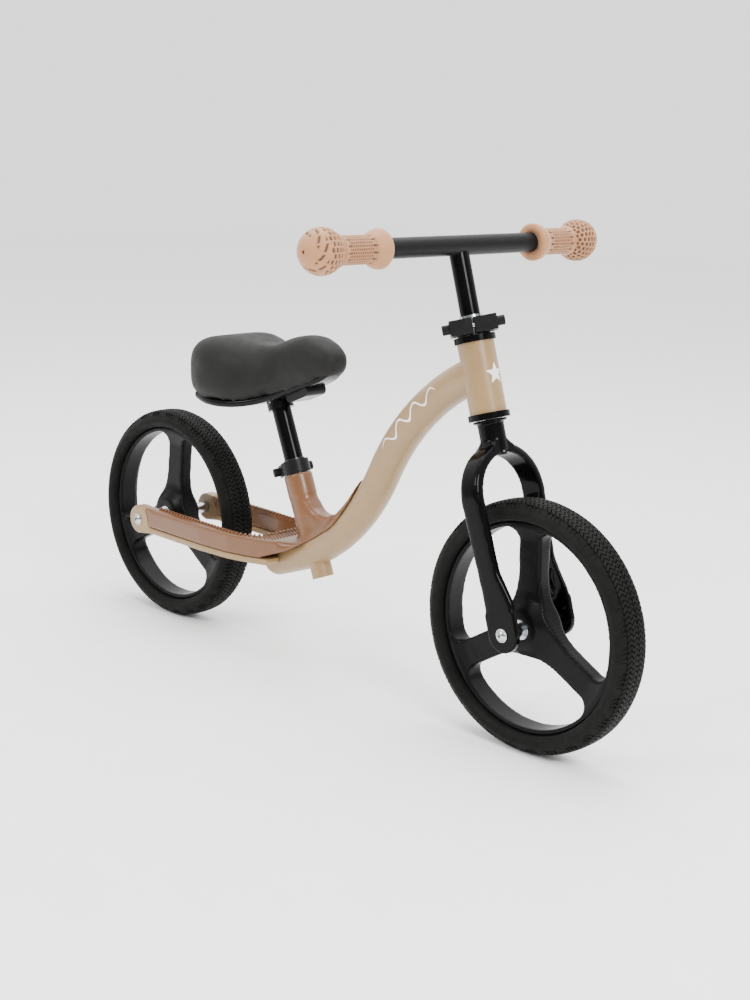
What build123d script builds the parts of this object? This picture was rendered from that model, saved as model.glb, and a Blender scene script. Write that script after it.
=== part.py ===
"""Child's balance bike: a cast and welded frame, a steered fork, two spoked wheels with foam tyres,
a height-adjustable handlebar and a height-adjustable saddle.

Frame of the part: +X is forward, +Y is the rider's left, +Z is up.  The origin is on the ground,
midway between the wheels.  All sizes are in millimetres.
"""
from build123d import *
import math
import os

# ------------------------------------------------------------------ driving dimensions
wheelbase = 630.0
tyre_radius = 142.0          # 12 inch foam tyre
tyre_width = 46.0
steer_tilt = 17.9            # steering axis, degrees back from the vertical
steer_offset = 6.4           # the axis passes this far behind the front axle
seat_tilt = 23.1             # seat post, degrees back from the vertical
running = 0.03               # radial clearance of a turning or sliding fit
soft_gap = 0.3               # clearance beside parts that turn past each other

# wheels
tyre_depth = 23.0            # from the tread down to the rim
rim_wall = 6.0
rim_half_width = 14.0
web_half_width = 9.0
hub_half_width = 20.5
hub_r = 21.0
spoke_width = 30.0
spoke_angles = (0.0, 120.0, 240.0)
front_wheel_turn = 92.0      # resting angle of the first spoke, from forward towards up
rear_wheel_turn = 86.0
window_root_fillet = 92.0
window_corner_fillet = 13.0
panel_length = 46.0          # shallow inset on one spoke
panel_width = 19.0
panel_depth = 0.8
bearing_od = 22.0
bearing_width = 6.0
axle_d = 10.0
axle_bolt_d = 6.0
spacer_od = 15.0
washer_thickness = 1.0
bolt_head_d = 13.5
bolt_head_height = 3.8
bolt_hex_r = 2.3
bolt_reach = 24.0            # how far a bolt's hole runs into the axle

# steering column, heights are along the steering axis from the level of the axle
neck_top = 228.5
head_low = 236.0             # lower end of the head tube
head_high = 314.5            # upper end of the head tube
steerer_od = 25.4
steerer_wall = 1.57
bearing_ring = 2.3           # thickness of the headset bearing's ring
cup_wall = 2.0
head_wall = 3.5
cup_flange = 2.8             # how far the cup's flange stands out from the head tube
cup_height = 7.0
cup_skirt = 12.0
steerer_high = 344.0
bar_height = 421.5
bar_forward = 3.0            # the bar's axis lies this far ahead of the steering axis
stem_low = 262.0
stem_wall = 1.6

# fork
leg_outer_top = 57.5         # half the outer width of the arch
leg_outer_low = 51.0         # half the outer width at the dropouts
leg_wall_top = 11.0
leg_wall_low = 8.0
arch_centre = 144.0
leg_depth = 27.0
dropout_width = 40.0
neck_wall = 2.05

# handlebar and grips
bar_od = 22.2
bar_wall = 1.6
bar_half = 218.0
grip_inner = 121.0
grip_ball = 206.0
grip_ball_r = 24.5
grip_flange_r = 21.5
grip_body_r = 15.2

# frame
main_od = 40.0
main_wall = 2.0
main_bends = [290, 260]      # radii of the two bends, from the head tube back
cover_thickness = 3.5        # casting over the main tube
web_half_thickness = 13.0
stay_outer = 66.0            # half the outer width of the rear fork of the frame
stay_inner = 50.0
stay_top = 160.0
stay_seam = 134.5            # height where the upper casting meets the lower one
stay_low = 126.5
dropout_r = 19.0
joint_low = 24.0             # the slanted joint with the dropouts, from the rear axle
joint_high = 14.0
slot_front = 217.0           # from the rear axle to the front end of the wheel slot

# seat tube, post and saddle, heights are along the seat post from the top of the boss
boss_x = 243.6               # from the rear axle
boss_z = 241.0
post_od = 24.0
post_wall = 1.8
sleeve_wall = 1.57
boss_wall = 4.4
stub_low = -133.0
sleeve_high = 19.0
post_low = -72.0
post_high = 108.0
seat_clamp_turn = 150.0      # direction of the clamp's lugs about the post, from forward
stem_clamp_turn = -45.0
clamp_wall = 5.3
seat_clamp_wall = 3.9
stem_clamp_height = 18.0
seat_clamp_height = 16.0
stem_clamp_lug = 26.0        # from the middle of the clamp to the end of a lug
seat_clamp_lug = 17.0
clamp_slit = 2.4
clamp_bolt_d = 5.0

# ------------------------------------------------------------------ values worked out from these
front_x = wheelbase / 2
rear_x = -wheelbase / 2
axle_z = tyre_radius
tilt = math.radians(steer_tilt)
steer = Plane(
    origin=(front_x - steer_offset, 0, axle_z),
    x_dir=(math.cos(tilt), 0, math.sin(tilt)),
    z_dir=(-math.sin(tilt), 0, math.cos(tilt)),
).location
axle_f = steer_offset * math.cos(tilt)      # front axle in the steering frame
axle_w = -steer_offset * math.sin(tilt)
lean = math.radians(seat_tilt)
seat = Plane(
    origin=(rear_x + boss_x, 0, boss_z),
    x_dir=(math.cos(lean), 0, math.sin(lean)),
    z_dir=(-math.sin(lean), 0, math.cos(lean)),
).location
rim_outer_r = tyre_radius - tyre_depth
window_r = rim_outer_r - rim_wall
headset_bearing_od = steerer_od + 2 * bearing_ring
head_id = headset_bearing_od + 2 * cup_wall
head_od = head_id + 2 * head_wall
cup_od = head_od + 2 * cup_flange
stem_od = steerer_od - 2 * steerer_wall - 2 * running
neck_od = steerer_od + 2 * neck_wall
stem_clamp_low = head_high + cup_height + 1
sleeve_od = post_od + 2 * running + 2 * sleeve_wall
boss_od = sleeve_od + 2 * boss_wall
front_axle_at = Pos(front_x, 0, axle_z)
rear_axle_at = Pos(rear_x, 0, axle_z)
BASE = (Align.CENTER, Align.CENTER, Align.MIN)
nodes = {}


# ------------------------------------------------------------------ small helpers
def rod(diameter, low, high):
    """Solid round bar along Z."""
    return Pos(0, 0, low) * Cylinder(diameter / 2, high - low, align=BASE)


def tube(outer_d, inner_d, low, high):
    """Round tube along Z."""
    return rod(outer_d, low, high) - rod(inner_d, low - 1, high + 1)


def along_y(shape, side=1):
    """Turn a shape built along Z to lie along +Y, or along -Y when side is -1."""
    return Rot(-90 * side, 0, 0) * shape


def both_sides(shape):
    """A shape and its mirror image across the middle plane, as two separate solids."""
    return Compound(children=[*shape.solids(), *mirror(shape, about=Plane.XZ).solids()])


def turned(points):
    """Solid of revolution about Y from (radius, y) points."""
    return revolve(make_face(Polyline(*points, close=True)), axis=Axis.Y)


def mirrored_profile(points):
    """Close a profile of (radius, y) points, y rising from 0, with its mirror image."""
    return [(r, -y) for r, y in reversed(points)] + points


# ------------------------------------------------------------------ wheels
def tyre():
    side = tyre_width / 2
    crown = [
        (rim_outer_r, rim_half_width),
        (tyre_radius - 20, side - 1.6),
        (tyre_radius - 13, side),
        (tyre_radius - 8.5, side - 2.2),
        (tyre_radius - 3.4, side - 6.0),
        (tyre_radius - 0.8, side - 11.5),
        (tyre_radius, side - 17.0),
    ]
    return turned(mirrored_profile(crown))


def window():
    """One opening between two spokes, at the middle angle 0, as a prism across the wheel."""
    half_gap = math.radians(60)
    apex = spoke_width / 2 / math.sin(half_gap)
    reach = window_r * 4
    corner = (apex + reach * math.cos(half_gap), reach * math.sin(half_gap))
    wedge = make_face(Polyline((apex, 0), corner, (corner[0], -corner[1]), close=True))
    shape = wedge & Circle(window_r)
    root = shape.vertices().sort_by(Axis.X)[0]
    shape = fillet(root, window_root_fillet)
    tips = shape.vertices().sort_by(Axis.X)
    tips = [v for v in tips if abs(v.Y) > window_r / 2 and (v.X**2 + v.Y**2) > (window_r - 1) ** 2]
    shape = fillet(tips, window_corner_fillet)
    width = 4 * rim_half_width
    return Plane.XZ.location * Pos(0, 0, -width / 2) * extrude(shape, width)


def wheel():
    profile = [
        (0, hub_half_width),
        (hub_r, hub_half_width),
        (hub_r + 3, hub_half_width - 2),
        (hub_r + 13, web_half_width + 1.5),
        (hub_r + 20, web_half_width),
        (window_r - 16, web_half_width),
        (window_r - 5, rim_half_width - 2),
        (window_r, rim_half_width),
        (rim_outer_r, rim_half_width),
    ]
    body = turned(mirrored_profile(profile))
    for index, angle in enumerate(spoke_angles):
        middle = (angle + spoke_angles[(index + 1) % 3] + (360 if index == 2 else 0)) / 2
        body -= Rot(0, -middle, 0) * window()
    body -= along_y(rod(bearing_od - 5, -hub_half_width, hub_half_width))
    for side in (1, -1):
        body -= along_y(rod(bearing_od, hub_half_width - bearing_width, hub_half_width + 1), side)
    # shallow inset panel on the spoke that points to the rear
    panel = RectangleRounded(panel_length, panel_width, 4)
    panel_middle = (hub_r + rim_outer_r - 8) / 2
    inset = Pos(panel_middle, 0, web_half_width - panel_depth) * extrude(panel, 2)
    for side in (1, -1):
        body -= Rot(0, -spoke_angles[1], 0) * along_y(inset, side)
    return body


def wheel_bearings():
    ring = tube(bearing_od, axle_d + 2 * running, hub_half_width - bearing_width, hub_half_width)
    return both_sides(along_y(ring))


def axle_parts(inner_face, outer_face):
    """Axle, spacers and bolts between two dropouts, centred on the axle line."""
    half = inner_face
    head_at = outer_face + washer_thickness
    axle = along_y(rod(axle_d, -half, half))
    for side in (1, -1):
        axle -= along_y(rod(axle_bolt_d, half - bolt_reach, half + 1), side)
    spacer = tube(spacer_od, axle_d, hub_half_width + soft_gap, inner_face)
    washer = tube(spacer_od, axle_bolt_d, outer_face, head_at)
    head = Pos(0, 0, head_at) * dome_head(bolt_head_d, bolt_head_height)
    shank = rod(axle_bolt_d, half - bolt_reach + 1, head_at + 0.5)
    bolt = head + shank
    socket = Pos(0, 0, head_at + 1.6) * extrude(RegularPolygon(bolt_hex_r, 6), bolt_head_height)
    return (
        axle,
        both_sides(along_y(spacer)),
        both_sides(along_y(washer)),
        both_sides(along_y(bolt - socket)),
    )


def dome_head(diameter, height):
    """Button head standing on Z = 0."""
    r = diameter / 2
    sphere_r = (r * r + height * height) / (2 * height)
    ball = Pos(0, 0, height - sphere_r) * Sphere(sphere_r)
    return ball & rod(diameter, 0, height + 1)


for name, place, turn in (
    ("front", front_axle_at, front_wheel_turn),
    ("rear", rear_axle_at, rear_wheel_turn),
):
    nodes[name + "_tyre"] = place * tyre()
    nodes[name + "_wheel"] = place * Rot(0, -turn, 0) * wheel()
    nodes[name + "_wheel_bearings"] = place * wheel_bearings()

front_set = axle_parts(leg_outer_low - leg_wall_low, leg_outer_low)
rear_set = axle_parts(stay_inner, stay_outer)
for name, place, parts in (("front", front_axle_at, front_set), ("rear", rear_axle_at, rear_set)):
    for kind, shape in zip(("axle", "axle_spacers", "axle_washers", "axle_bolts"), parts):
        nodes[name + "_" + kind] = place * shape


# ------------------------------------------------------------------ fork and steering column
def arch_outline(outer_top, outer_low, low, low_flat):
    """Front view of the fork's outside or inside: straight legs under a half circle."""
    path = Polyline(
        (-outer_top, arch_centre),
        (-outer_low, low_flat),
        (-outer_low, low),
        (outer_low, low),
        (outer_low, low_flat),
        (outer_top, arch_centre),
    )
    top = CenterArc((0, arch_centre), outer_top, 0, 180)
    return make_face(path + top)


def fork():
    low = axle_w - dropout_width / 2
    flat = axle_w + dropout_width
    outer = arch_outline(leg_outer_top, leg_outer_low, low, flat)
    inner = arch_outline(
        leg_outer_top - leg_wall_top, leg_outer_low - leg_wall_low, low - 1, flat + 4
    )
    front = Plane.YZ.location * extrude(outer - inner, 40, both=True)
    crown = arch_centre + leg_outer_top + 1
    half = leg_depth / 2
    side = make_face(
        Polyline(
            (-half, crown),
            (half, crown),
            (half + 1, 66),
            (axle_f + dropout_width / 2, 30),
            (axle_f + dropout_width / 2, axle_w),
            (axle_f - dropout_width / 2, axle_w),
            (axle_f - dropout_width / 2, 20),
            (-half, 66),
            close=True,
        )
    ) + Pos(axle_f, axle_w) * Circle(dropout_width / 2)
    body = front & (Plane.XZ.location * extrude(side, 80, both=True))
    # channel in the inner side of each leg, stiffened by crossed ribs
    for mirror_side in (1, -1):
        body -= leg_channel(mirror_side)
    neck = rod(neck_od, arch_centre + leg_outer_top - 8, neck_top - 3)
    flare = Pos(0, 0, arch_centre + leg_outer_top - 8) * Cone(24, neck_od / 2, 12, align=BASE)
    flare &= Box(leg_depth, 60, 800)
    seat_ring = rod(38, neck_top - 3, neck_top)
    body += neck + flare + seat_ring
    body -= rod(steerer_od, arch_centre, neck_top + 1)
    for side_sign in (1, -1):
        hole = along_y(rod(axle_bolt_d, 0, 80), side_sign)
        body -= Pos(axle_f, 0, axle_w) * hole
    return body


def leg_channel(side):
    depth = 4.0
    width = leg_depth - 8
    low, high = 24.0, 138.0
    wall_slope = (leg_outer_top - leg_wall_top) - (leg_outer_low - leg_wall_low)
    angle = math.degrees(math.atan2(wall_slope, arch_centre - axle_w - dropout_width))
    length = high - low
    face_y = leg_outer_low - leg_wall_low + wall_slope * 0.45
    trough = Box(width, 2 * depth, length)
    rib_count = 3
    pitch = length / rib_count
    rib_turn = math.degrees(math.atan2(width, pitch))
    for index in range(rib_count):
        centre = (index + 0.5 - rib_count / 2) * pitch
        for turn in (rib_turn, -rib_turn):
            trough -= Pos(0, 0, centre) * Rot(0, turn, 0) * Box(2.2, 3 * depth, 1.5 * pitch)
    placed = Pos(1.5, face_y, (low + high) / 2) * Rot(-angle, 0, 0) * trough
    return placed if side > 0 else mirror(placed, about=Plane.XZ)


def headset_set(end, side):
    """Cup at one end of the head tube, with its skirt pressed inside, and the bearing ring in it.

    side is 1 for the upper end and -1 for the lower one.
    """
    flange_low, flange_high = sorted((end, end + side * cup_height))
    skirt_low, skirt_high = sorted((end, end - side * cup_skirt))
    bearing_low, bearing_high = sorted((end + side * (cup_height - 1), end - side * (cup_skirt - 1)))
    cup = rod(cup_od, flange_low, flange_high) + rod(head_id, skirt_low, skirt_high)
    cup -= rod(headset_bearing_od, end - cup_skirt - 1, end + cup_skirt + 1)
    bearing = tube(headset_bearing_od, steerer_od + 2 * running, bearing_low, bearing_high)
    return cup, bearing


nodes["fork"] = steer * fork()
steerer_low = arch_centre + leg_outer_top - leg_wall_top + 1
steerer = tube(steerer_od, stem_od + 2 * running, steerer_low, steerer_high)
for slot_turn in (0, 90):
    steerer -= Rot(0, 0, slot_turn) * Pos(0, 0, steerer_high) * Box(60, 2, 32)
nodes["steerer_tube"] = steer * steerer
for name, end, side in (("lower", head_low, -1), ("upper", head_high, 1)):
    cup, bearing = headset_set(end, side)
    nodes[name + "_headset_cup"] = steer * cup
    nodes[name + "_headset_bearing"] = steer * bearing


# ------------------------------------------------------------------ clamps
def clamp_parts(bore, ring_od, low, height, lug_y, turn):
    """Split collar with two lugs, a cross bolt, a cap nut and a round knob."""
    middle = low + height / 2
    lug_out = ring_od / 2 + 11
    bolt_at = ring_od / 2 + 4
    ring = rod(ring_od, low, low + height)
    lugs = Pos(lug_out / 2, 0, middle) * Box(lug_out, 2 * lug_y, height - 1)
    waist = Pos(0, 0, middle) * Box(ring_od, ring_od, height + 2)
    lugs -= Pos(-ring_od / 2 + 6, 0, 0) * waist
    collar = ring + lugs
    collar -= rod(bore, low - 1, low + height + 1)
    collar -= Pos(lug_out / 2, 0, middle) * Box(lug_out + 2, clamp_slit, height + 2)
    axis = Pos(bolt_at, 0, middle)
    collar -= axis * along_y(rod(clamp_bolt_d, -lug_y - 1, lug_y + 1))
    bolt = along_y(rod(clamp_bolt_d, -lug_y - 6, lug_y + 6))
    cap = Pos(0, 0, lug_y) * (rod(11.0, 0, 8.5) & Pos(0, 0, 3.0) * Sphere(7.4))
    cap -= rod(clamp_bolt_d, 0, lug_y + 6)
    spin = Rot(0, 0, turn)
    return [spin * piece for piece in (collar, axis * bolt, axis * along_y(cap, -1), axis * along_y(cap))]


stem_clamp = clamp_parts(
    steerer_od, steerer_od + 2 * clamp_wall, stem_clamp_low, stem_clamp_height, stem_clamp_lug,
    stem_clamp_turn,
)
seat_clamp = clamp_parts(
    sleeve_od, sleeve_od + 2 * seat_clamp_wall, 1.0, seat_clamp_height, seat_clamp_lug, seat_clamp_turn
)
for kind, stem_piece, seat_piece in zip(("collar", "bolt", "nut", "knob"), stem_clamp, seat_clamp):
    nodes["stem_clamp_" + kind] = steer * stem_piece
    nodes["seat_clamp_" + kind] = seat * seat_piece


# ------------------------------------------------------------------ handlebar
def grip(side):
    inner, ball, body_r = grip_inner, grip_ball, grip_body_r
    profile = Polyline(
        (0, inner),
        (grip_flange_r - 2.5, inner),
        (grip_flange_r, inner + 3),
        (grip_flange_r - 0.8, inner + 9),
        (body_r + 1.6, inner + 16),
        (body_r, inner + 24),
        (body_r, ball - grip_ball_r - 4),
        (body_r + 1.5, ball - grip_ball_r + 4),
        (body_r + 2.5, ball - 17),
        (0, ball - 17),
        close=True,
    )
    shape = revolve(make_face(profile), axis=Axis.Y)
    shape += Pos(0, ball, 0) * Sphere(grip_ball_r)
    shape -= along_y(rod(bar_od, 0, bar_half))
    shape -= along_y(rod(4.0, bar_half, bar_half + 40))
    return shape if side > 0 else mirror(shape, about=Plane.XZ)


bar_at = steer * Pos(bar_forward, 0, bar_height)
bar = along_y(tube(bar_od, bar_od - 2 * bar_wall, -bar_half, bar_half))
plug = along_y(tube(bar_od - 2 * bar_wall, 8.0, bar_half - 16, bar_half))
stem = tube(stem_od, stem_od - 2 * stem_wall, stem_low, bar_height)
stem -= Pos(bar_forward, 0, bar_height) * along_y(rod(bar_od, -60, 60))
stem = stem.solids().sort_by(SortBy.VOLUME)[-1]
nodes["handlebar"] = bar_at * bar
nodes["stem_tube"] = steer * stem
nodes["bar_end_plugs"] = bar_at * both_sides(plug)
nodes["left_grip"] = bar_at * grip(1)
nodes["right_grip"] = bar_at * grip(-1)


# ------------------------------------------------------------------ frame
def frame_point(from_rear, height):
    return (rear_x + from_rear, 0, height)


def main_route():
    """Centreline of the main tube: from inside the head tube, down in an S, to its rear end."""
    head = steer * Pos(0, 0, 283.0)
    start = (head.position.X, 0, head.position.Z)
    first = (start[0] - 102.7, 0, start[2] - 58.3)
    return start, first, frame_point(350.3, 174.3), frame_point(214.0, 123.3)


def swept_round(diameter):
    """Round bar along the main tube's route, with a domed rear end."""
    path = FilletPolyline(*main_route(), radius=main_bends)
    bar = sweep(Plane(origin=path @ 0, z_dir=path % 0) * Circle(diameter / 2), path=path)
    dome = Sphere(diameter / 2, arc_size1=0, arc_size2=90, align=BASE)
    return bar + Plane(origin=path @ 1, z_dir=path % 1).location * dome


def main_tube():
    body = swept_round(main_od) - swept_round(main_od - 2 * main_wall)
    body -= steer * rod(head_od, head_low - 40, head_high + 60)
    body -= seat * rod(sleeve_od, stub_low - 10, sleeve_high)
    return body.solids().sort_by(SortBy.VOLUME)[-1]


def half_plan(points):
    """Closed plan outline from (x from the rear axle, y) points of the left half."""
    left = [(rear_x + x, y) for x, y in points]
    right = [(x, -y) for x, y in reversed(left) if y > 0]
    return left + right


def slot_prism(low, high):
    """The wheel slot between the stays: straight sides and a rounded front end."""
    back = -60.0
    corner = 36.0
    length = slot_front - back
    outline = Pos(rear_x + (slot_front + back) / 2, 0) * Rectangle(length, 2 * stay_inner)
    front_corners = outline.vertices().sort_by(Axis.X)[-2:]
    outline = fillet(front_corners, corner)
    return Pos(0, 0, low) * extrude(outline, high - low)


def stay_block(low, high, points):
    outline = make_face(Polyline(*[(x, y, 0) for x, y in half_plan(points)], close=True))
    return Pos(0, 0, low) * extrude(outline, high - low)


stay_plan = [
    (-40, stay_outer),
    (130, stay_outer - 1),
    (180, stay_outer - 5),
    (214, stay_outer - 14),
    (240, stay_outer - 25),
    (264, stay_outer - 35),
    (288, stay_outer - 41),
    (300, 0),
]


def main_cover():
    """Upper casting's saddle over the main tube."""
    cover = swept_round(main_od + 2 * cover_thickness)
    keep = make_face(
        Polyline(
            (rear_x + 205, 134.5),
            (rear_x + 262, 150),
            (rear_x + 300, 171),
            (rear_x + 330, 195),
            (rear_x + 356, 232),
            (rear_x + 364, 262),
            (rear_x + 352, 262),
            (rear_x + 300, 235),
            (rear_x + 205, 190),
            close=True,
        )
    )
    return cover & (Plane.XZ.location * extrude(keep, 60, both=True))


def boss_web():
    """Web that joins the boss of the seat tube to the main tube, seen from the side."""
    side = make_face(
        Polyline(
            (rear_x + 262, 150),
            (rear_x + 262, 214),
            (rear_x + 277, 214),
            (rear_x + 281, 207),
            (rear_x + 287, 202),
            (rear_x + 294, 199.8),
            (rear_x + 303, 199.5),
            (rear_x + 312, 201.5),
            (rear_x + 320, 206),
            (rear_x + 300, 165),
            close=True,
        )
    )
    return Plane.XZ.location * extrude(side, web_half_thickness, both=True)


def footrest_deck():
    body = stay_block(stay_seam, stay_top, stay_plan)
    body += main_cover() + boss_web()
    body += seat * rod(boss_od, -95, 0)
    body -= slot_prism(stay_seam - 40, stay_top + 40)
    # the slanted joint with the dropouts
    cut = make_face(
        Polyline(
            (-80, 100),
            (joint_low, 100),
            (joint_low, stay_seam),
            (joint_high, stay_top),
            (-80, stay_top + 9),
            close=True,
        )
    )
    body -= Pos(rear_x, 0, 0) * (Plane.XZ.location * extrude(cut, 90, both=True))
    body -= swept_round(main_od)
    body -= seat * rod(sleeve_od, stub_low, sleeve_high)
    body -= under_cut()
    return body.solids().sort_by(SortBy.VOLUME)[-1]


def under_cut():
    """Space under the main tube's cover, where the upper casting stops."""
    side = make_face(
        Polyline(
            (rear_x + 226, 100),
            (rear_x + 226, 136),
            (rear_x + 262, 151),
            (rear_x + 300, 172),
            (rear_x + 330, 196),
            (rear_x + 400, 280),
            (rear_x + 400, 100),
            close=True,
        )
    )
    return Plane.XZ.location * extrude(side, 80, both=True)


def rear_stays():
    """Lower casting: a band under the footrest that ends in the two rear dropouts."""
    body = stay_block(stay_low, stay_seam, stay_plan)
    clip = make_face(
        Polyline((0, 0), (0, 400), (236, 400), (236, 0), close=True)
    )
    body &= Pos(rear_x, 0, 0) * (Plane.XZ.location * extrude(clip, 90, both=True))
    end = make_face(
        Polyline(
            (0, axle_z - dropout_r),
            (joint_low, stay_low),
            (joint_low, stay_seam),
            (joint_high, stay_top),
            (0, axle_z + dropout_r),
            close=True,
        )
    ) + Pos(0, axle_z) * Circle(dropout_r)
    plates = Plane.XZ.location * extrude(end, stay_outer, both=True)
    body += Pos(rear_x, 0, 0) * plates
    body -= Pos(rear_x + 250, 0, 0) * Box(120, 2 * main_od / 3, 800)
    body -= slot_prism(stay_low - 60, stay_top + 60)
    body -= swept_round(main_od)
    body -= seat * rod(sleeve_od, stub_low, sleeve_high)
    body -= rear_axle_at * along_y(rod(axle_bolt_d, -stay_outer - 10, stay_outer + 10))
    return body.solids().sort_by(Axis.Y)


nodes["head_tube"] = steer * tube(head_od, head_id, head_low, head_high)
nodes["main_tube"] = main_tube()
nodes["footrest_deck"] = footrest_deck()
nodes["right_stay"], nodes["left_stay"] = rear_stays()
sleeve = tube(sleeve_od, post_od + 2 * running, stub_low, sleeve_high)
sleeve -= Rot(0, 0, seat_clamp_turn) * Pos(20, 0, sleeve_high) * Box(40, 2.4, 44)
nodes["seat_sleeve"] = seat * sleeve


# ------------------------------------------------------------------ saddle
# stations along the saddle: x from the rear axle, half width, underside, top, corner radius
saddle_stations = [
    (75, 30, 340, 372, 10),
    (84, 48, 328, 388, 20),
    (104, 62, 317, 399, 27),
    (140, 68, 313, 402, 31),
    (175, 60, 315, 397, 30),
    (210, 44, 324, 396, 27),
    (245, 34, 339, 411, 25),
    (278, 29, 353, 418.5, 23),
    (304, 23, 368, 411, 17),
    (319, 13, 380, 399, 8),
]


def saddle_loft(stations):
    faces = []
    for x, half, low, high, radius in stations:
        section = Plane(origin=(rear_x + x, 0, (low + high) / 2), x_dir=(0, 1, 0), z_dir=(1, 0, 0))
        faces.append(section * RectangleRounded(2 * half, high - low, radius))
    return loft(faces)


def saddle_hollow(floor, roof):
    """Loft inside the pad, from floor to roof above the pad's lower edge."""
    wall = 9.0
    stations = [
        (x, half - wall, low + floor, low + roof, 4) for x, half, low, high, radius in saddle_stations[2:9]
    ]
    return saddle_loft(stations)


def saddle_base():
    """Hard shell under the pad, with the socket for the seat post and a rounded front block."""
    shell = saddle_hollow(5, 14)
    socket = seat * rod(post_od + 9, 84, 116)
    block = Pos(rear_x + 254, 0, 348) * Rot(0, -24, 0) * Box(40, 32, 20)
    block = fillet(block.edges().filter_by(Axis.Y), 7)
    return shell + socket + block


shell = saddle_base()
post_space = seat * rod(post_od, post_low, post_high)
pad = saddle_loft(saddle_stations) - saddle_hollow(-40, 14) - shell - post_space
post = tube(post_od, post_od - 2 * post_wall, post_low, post_high)
cross = seat * Pos(0, 0, 96) * along_y(rod(5.0, -post_od / 2 - 4.5, post_od / 2 + 4.5))
nodes["saddle_pad"] = pad.solids().sort_by(SortBy.VOLUME)[-1]
nodes["saddle_base"] = shell - post_space - cross
nodes["seat_post"] = seat * post - cross
nodes["saddle_cross_bolt"] = cross
nodes["seat_post_plug"] = seat * (
    rod(post_od - 2 * post_wall, post_low, post_low + 12) + rod(post_od - 1, post_low - 2, post_low)
)

# ------------------------------------------------------------------ write the sub-parts
os.makedirs("parts", exist_ok=True)
for name, shape in nodes.items():
    export_step(shape, f"parts/{name}.step")
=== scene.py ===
"""Child's balance bike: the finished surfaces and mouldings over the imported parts.

Each operator makes one piece or one group of like pieces, in metres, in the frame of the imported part.
"""
import math

import bmesh
import bpy
from bpy.props import FloatProperty, FloatVectorProperty, IntProperty, PointerProperty
from mathutils import Matrix, Vector
from mathutils.bvhtree import BVHTree


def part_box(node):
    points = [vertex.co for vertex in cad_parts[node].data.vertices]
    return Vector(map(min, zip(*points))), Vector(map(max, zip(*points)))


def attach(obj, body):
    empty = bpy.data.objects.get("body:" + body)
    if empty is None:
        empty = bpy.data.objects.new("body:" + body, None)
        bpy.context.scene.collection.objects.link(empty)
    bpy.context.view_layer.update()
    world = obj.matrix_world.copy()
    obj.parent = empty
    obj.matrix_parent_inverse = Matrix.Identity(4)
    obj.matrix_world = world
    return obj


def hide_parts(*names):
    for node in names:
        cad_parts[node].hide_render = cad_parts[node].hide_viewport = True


bl_info = {
    "name": "Balance Bike",
    "version": (1, 0, 0),
    "blender": (4, 5, 0),
    "location": "View3D > Sidebar > Balance Bike",
    "description": "Builds the finished pieces, materials and stage of a child's balance bike",
    "category": "Add Mesh",
}

MM = 0.001
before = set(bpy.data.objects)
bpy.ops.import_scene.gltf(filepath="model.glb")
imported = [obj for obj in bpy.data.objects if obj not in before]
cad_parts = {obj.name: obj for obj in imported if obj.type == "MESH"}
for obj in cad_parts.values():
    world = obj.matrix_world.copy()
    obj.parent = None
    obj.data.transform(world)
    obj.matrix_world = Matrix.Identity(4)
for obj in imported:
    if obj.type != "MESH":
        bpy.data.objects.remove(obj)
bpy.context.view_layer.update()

WHEEL_CENTRES = {
    wheel: (Vector(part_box(wheel + "_tyre")[0]) + Vector(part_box(wheel + "_tyre")[1])) / 2
    for wheel in ("front", "rear")
}
TYRE_RADIUS = (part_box("front_tyre")[1].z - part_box("front_tyre")[0].z) / 2 / MM
BAR_CENTRE = (Vector(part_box("handlebar")[0]) + Vector(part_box("handlebar")[1])) / 2
REAR = WHEEL_CENTRES["rear"].x / MM
STEERING_FOOT = Vector((308.6, 0, 142))      # mm, where the steering axis meets the axle's height
STEERING_TILT = math.radians(17.9)
STEERING_AXIS = Vector((-math.sin(STEERING_TILT), 0, math.cos(STEERING_TILT)))
SEAT_FOOT = Vector((REAR + 243.6, 0, 241))   # mm, top of the seat tube boss
SEAT_TILT = math.radians(23.1)
SEAT_AXIS = Vector((-math.sin(SEAT_TILT), 0, math.cos(SEAT_TILT)))
DECK_LEVEL = 160                             # mm, flat top of the footrest


# ------------------------------------------------------------------ colour and node helpers
def linear(code):
    """Linear RGB of an sRGB hex colour."""
    channels = [int(code[i:i + 2], 16) / 255 for i in (1, 3, 5)]
    return tuple(c / 12.92 if c <= 0.04045 else ((c + 0.055) / 1.055) ** 2.4 for c in channels)


def node(tree, kind, inputs=None, **settings):
    """One node of a tree: its settings, then for each input a value or the output that feeds it."""
    made = tree.nodes.new(kind)
    for name, value in settings.items():
        setattr(made, name, value)
    for key, value in (inputs or {}).items():
        if isinstance(value, bpy.types.NodeSocket):
            tree.links.new(value, made.inputs[key])
        else:
            made.inputs[key].default_value = value
    return made


def start_finish(name, roughness, metallic=0.0, coat=0.0, coat_roughness=0.1, ior=1.5, shine=0.5):
    """A material with a Principled shader and its object coordinates. shine is the specular level."""
    material = bpy.data.materials.new(name)
    material.use_nodes = True
    tree = material.node_tree
    tree.nodes.clear()
    where = node(tree, "ShaderNodeTexCoord").outputs["Object"]
    shader = node(tree, "ShaderNodeBsdfPrincipled", {
        "Roughness": roughness, "Metallic": metallic, "Coat Weight": coat,
        "Coat Roughness": coat_roughness, "IOR": ior, "Specular IOR Level": shine,
    })
    node(tree, "ShaderNodeOutputMaterial", {"Surface": shader.outputs[0]})
    return material, tree, where, shader


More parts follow.
